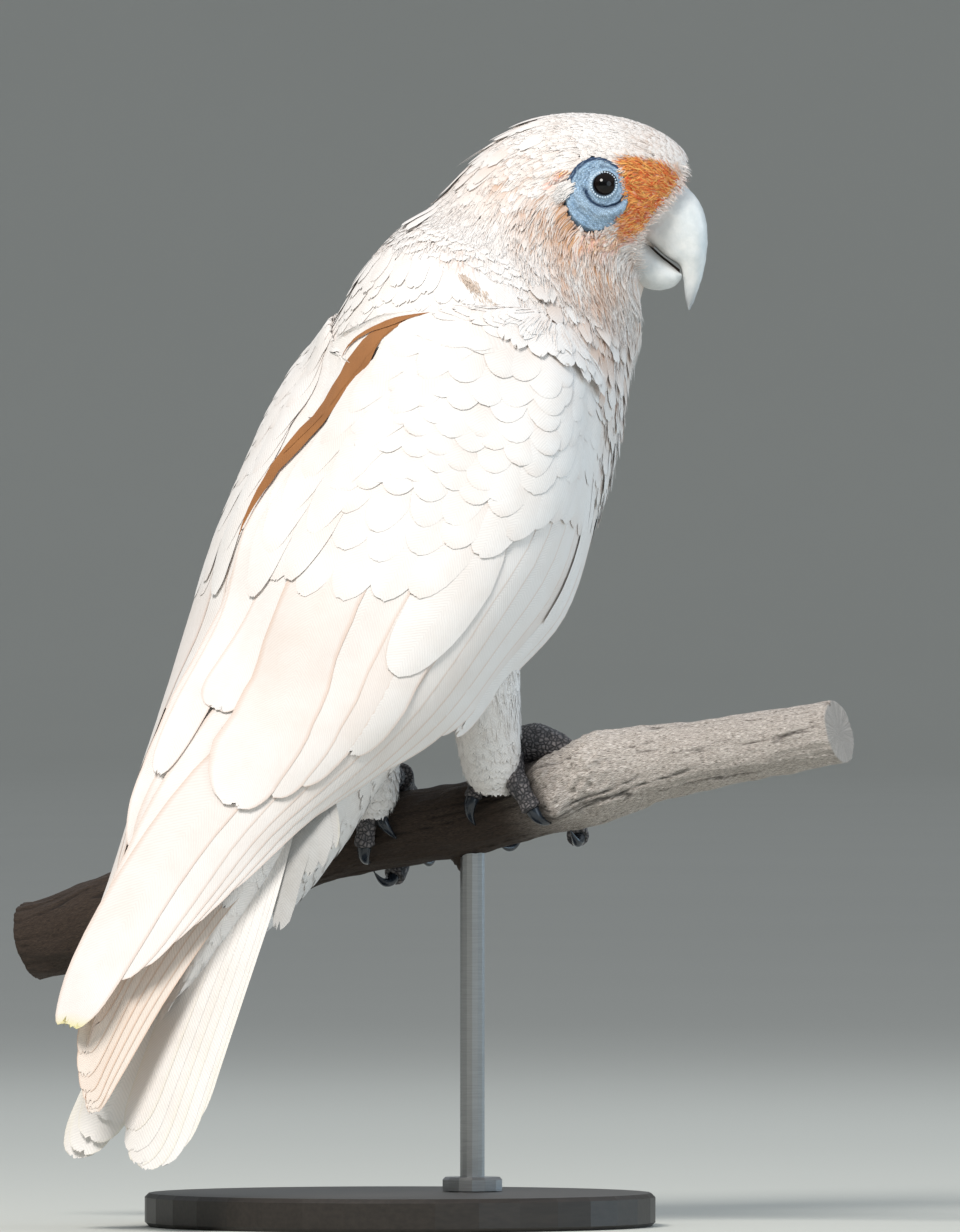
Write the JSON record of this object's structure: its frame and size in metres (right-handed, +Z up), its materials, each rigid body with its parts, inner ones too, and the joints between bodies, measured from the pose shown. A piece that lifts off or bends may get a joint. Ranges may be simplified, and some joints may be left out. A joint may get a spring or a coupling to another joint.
{
  "type": "cockatoo model",
  "caption": "Life-size still model of a white western corella perched on a cut branch, held by a round base and a rod.",
  "frame": {"origin": "middle of the stand base's underside, on the floor", "axes": "+X the way the bird's body faces, +Y its left side, +Z up; the head is turned 38 degrees to the bird's right"},
  "size_m": [0.2597, 0.2996, 0.4015],
  "materials": {
    "white_feather": "soft white feathers",
    "foot_scales": "dark grey scaly skin",
    "claw_horn": "smooth dark horn",
    "eye": "wet black eye",
    "eye_ring_skin": "bare blue-grey wrinkled skin",
    "bill_horn": "pale bone-coloured horn",
    "weathered_wood": "weathered bare wood",
    "stand_base": "satin black paint",
    "stand_steel": "brushed steel"
  },
  "bodies": {
    "root": {"head": "white_feather", "neck": "white_feather", "trunk": "white_feather", "tail_right": "white_feather", "tail_left": "white_feather", "wing_right": "white_feather", "wing_left": "white_feather", "primaries_right": "white_feather", "primaries_left": "white_feather", "leg_right": "white_feather", "leg_left": "white_feather", "foot_right": "foot_scales", "foot_left": "foot_scales", "claw_right_inner_front": "claw_horn", "claw_right_outer_front": "claw_horn", "claw_right_inner_hind": "claw_horn", "claw_right_outer_hind": "claw_horn", "claw_left_inner_front": "claw_horn", "claw_left_outer_front": "claw_horn", "claw_left_inner_hind": "claw_horn", "claw_left_outer_hind": "claw_horn", "eye_right": "eye", "eye_left": "eye", "orbit_right": "eye_ring_skin", "orbit_left": "eye_ring_skin", "bill_upper": "bill_horn", "bill_lower": "bill_horn", "perch": "weathered_wood", "stand_base": "stand_base", "stand_rod": "stand_steel"}
  },
  "joints": []
}
